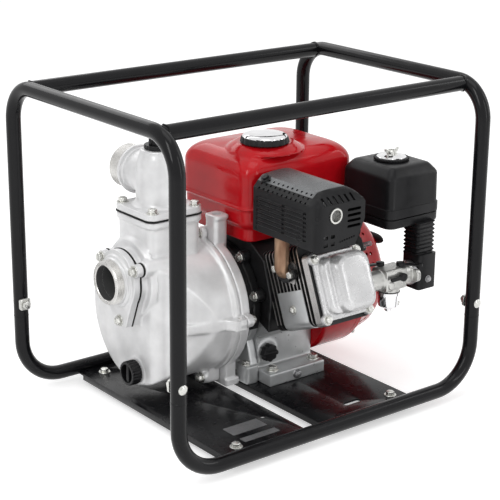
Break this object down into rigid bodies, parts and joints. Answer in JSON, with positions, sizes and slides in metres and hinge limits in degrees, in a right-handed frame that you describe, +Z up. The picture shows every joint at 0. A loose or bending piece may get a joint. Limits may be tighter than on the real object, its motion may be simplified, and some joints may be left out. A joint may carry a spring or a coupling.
{
  "type": "portable fire pump",
  "caption": "Self-priming water pump close-coupled to a small petrol engine inside a tubular carrying frame, with a recoil starter, fuel tank, air filter and muffler.",
  "frame": {"origin": "centre of the footprint, at the floor under the rubber feet", "axes": "+X along the crankshaft from the pump to the recoil starter, +Y away from the cylinder side, +Z up"},
  "size_m": [0.513, 0.388, 0.447],
  "materials": {
    "frame_black": "gloss black enamel",
    "base_black": "gloss black enamel on pressed sheet",
    "fastener_zinc": "zinc plated",
    "rubber_black": "matt moulded rubber",
    "pump_cast": "fine blasted and clear coated casting",
    "engine_cast": "as-cast, slightly rough",
    "valve_cover_bright": "polished pressed metal",
    "head_iron": "dark machined fins",
    "internal_steel": "machined",
    "exhaust_brown": "heat-tinted steel",
    "heat_black": "satin heat-proof black",
    "tank_red": "high gloss red",
    "cap_chrome": "bright plated",
    "plastic_black": "fine satin moulding",
    "foam_grey": "open-cell foam",
    "carb_zinc": "die-cast zinc alloy",
    "switch_red": "smooth moulding"
  },
  "bodies": {
    "root": {"lower_frame_front": "frame_black", "lower_frame_rear": "frame_black", "upper_hoop_left": "frame_black", "upper_hoop_right": "frame_black", "top_rail_front": "frame_black", "top_rail_rear": "frame_black", "frame_bolt_front_left": "fastener_zinc", "frame_bolt_rear_left": "fastener_zinc", "frame_bolt_front_right": "fastener_zinc", "frame_bolt_rear_right": "fastener_zinc", "pump_base_plate": "base_black", "engine_base_plate": "base_black", "foot_pump_front": "rubber_black", "foot_pump_rear": "rubber_black", "foot_engine_front": "rubber_black", "foot_engine_rear": "rubber_black", "pump_casing": "pump_cast", "pump_back_plate": "pump_cast", "suction_flange": "pump_cast", "suction_gasket": "rubber_black", "discharge_elbow": "pump_cast", "discharge_gasket": "rubber_black", "volute": "internal_steel", "mechanical_seal": "internal_steel", "crankcase": "engine_cast", "crankcase_cover": "engine_cast", "bearing_pump_side": "internal_steel", "bearing_fan_side": "internal_steel", "cylinder_head": "head_iron", "valve_cover": "valve_cover_bright", "cylinder_shroud": "valve_cover_bright", "muffler": "internal_steel", "muffler_shield": "heat_black", "exhaust_pipe": "exhaust_brown", "fuel_tank": "tank_red", "air_filter_base": "plastic_black", "air_filter_element": "foam_grey", "carburettor": "carb_zinc", "float_bowl": "carb_zinc", "fan_housing": "tank_red", "recoil_cover": "tank_red", "spark_plug_cap": "rubber_black", "ignition_coil": "internal_steel"},
    "crank": {"crankshaft": "internal_steel", "impeller": "internal_steel", "flywheel": "internal_steel", "starter_cup": "internal_steel"},
    "check_valve": {"check_valve_flap": "rubber_black"},
    "priming_cap": {"priming_cap": "plastic_black"},
    "drain_plug": {"drain_plug": "plastic_black"},
    "oil_plug": {"oil_plug": "plastic_black"},
    "fuel_cap": {"fuel_cap": "cap_chrome"},
    "filter_cover": {"air_filter_cover": "plastic_black"},
    "wing_nut": {"wing_nut": "cap_chrome"},
    "throttle": {"throttle_lever": "plastic_black"},
    "choke": {"choke_lever": "plastic_black"},
    "fuel_valve": {"fuel_valve_lever": "plastic_black"},
    "switch": {"engine_switch": "switch_red"},
    "reel": {"starter_reel": "plastic_black"},
    "handle": {"starter_handle": "plastic_black"}
  },
  "joints": [
    {"name": "crank_spin", "type": "hinge", "parent": "root", "child": "crank", "pos_m": [0, 0.07, 0.1245], "axis": [1, 0, 0], "continuous": true},
    {"name": "check_valve_swing", "type": "hinge", "parent": "root", "child": "check_valve", "pos_m": [-0.1347, 0.07, 0.209], "axis": [0, -1, 0], "range_deg": [0, 35]},
    {"name": "priming_cap_lift", "type": "slide", "parent": "root", "child": "priming_cap", "axis": [0, 0, 1], "range_m": [0, 0.04]},
    {"name": "drain_plug_out", "type": "slide", "parent": "root", "child": "drain_plug", "axis": [-1, 0, 0], "range_m": [0, 0.03]},
    {"name": "oil_plug_out", "type": "slide", "parent": "root", "child": "oil_plug", "axis": [0, -1, 0], "range_m": [0, 0.03]},
    {"name": "fuel_cap_lift", "type": "slide", "parent": "root", "child": "fuel_cap", "axis": [0, 0, 1], "range_m": [0, 0.04]},
    {"name": "filter_cover_lift", "type": "slide", "parent": "root", "child": "filter_cover", "axis": [0, 0, 1], "range_m": [0, 0.09]},
    {"name": "wing_nut_turn", "type": "hinge", "parent": "filter_cover", "child": "wing_nut", "pos_m": [0.199, -0.0635, 0.325], "axis": [0, 0, 1], "continuous": true},
    {"name": "throttle_turn", "type": "hinge", "parent": "root", "child": "throttle", "pos_m": [0.149, -0.102, 0.188], "axis": [0, 0, 1], "range_deg": [-50, 0]},
    {"name": "choke_turn", "type": "hinge", "parent": "root", "child": "choke", "pos_m": [0.171, -0.118, 0.188], "axis": [0, 0, 1], "range_deg": [-70, 0]},
    {"name": "fuel_valve_turn", "type": "hinge", "parent": "root", "child": "fuel_valve", "pos_m": [0.167, -0.129, 0.173], "axis": [0, 1, 0], "range_deg": [-90, 0]},
    {"name": "switch_turn", "type": "hinge", "parent": "root", "child": "switch", "pos_m": [0.148, -0.045, 0.1185], "axis": [0, 1, 0], "range_deg": [0, 60]},
    {"name": "starter_pull", "type": "slide", "parent": "root", "child": "handle", "axis": [1, 0, 0], "range_m": [0, 0.3], "stiffness_N_per_m": 30},
    {"name": "reel_turn", "type": "hinge", "parent": "root", "child": "reel", "pos_m": [0.198, 0.07, 0.1245], "axis": [1, 0, 0], "range_deg": [0, 350]}
  ],
  "couplings": [
    {"joint": "reel_turn", "follows": "starter_pull", "rad_per_m": 20}
  ]
}
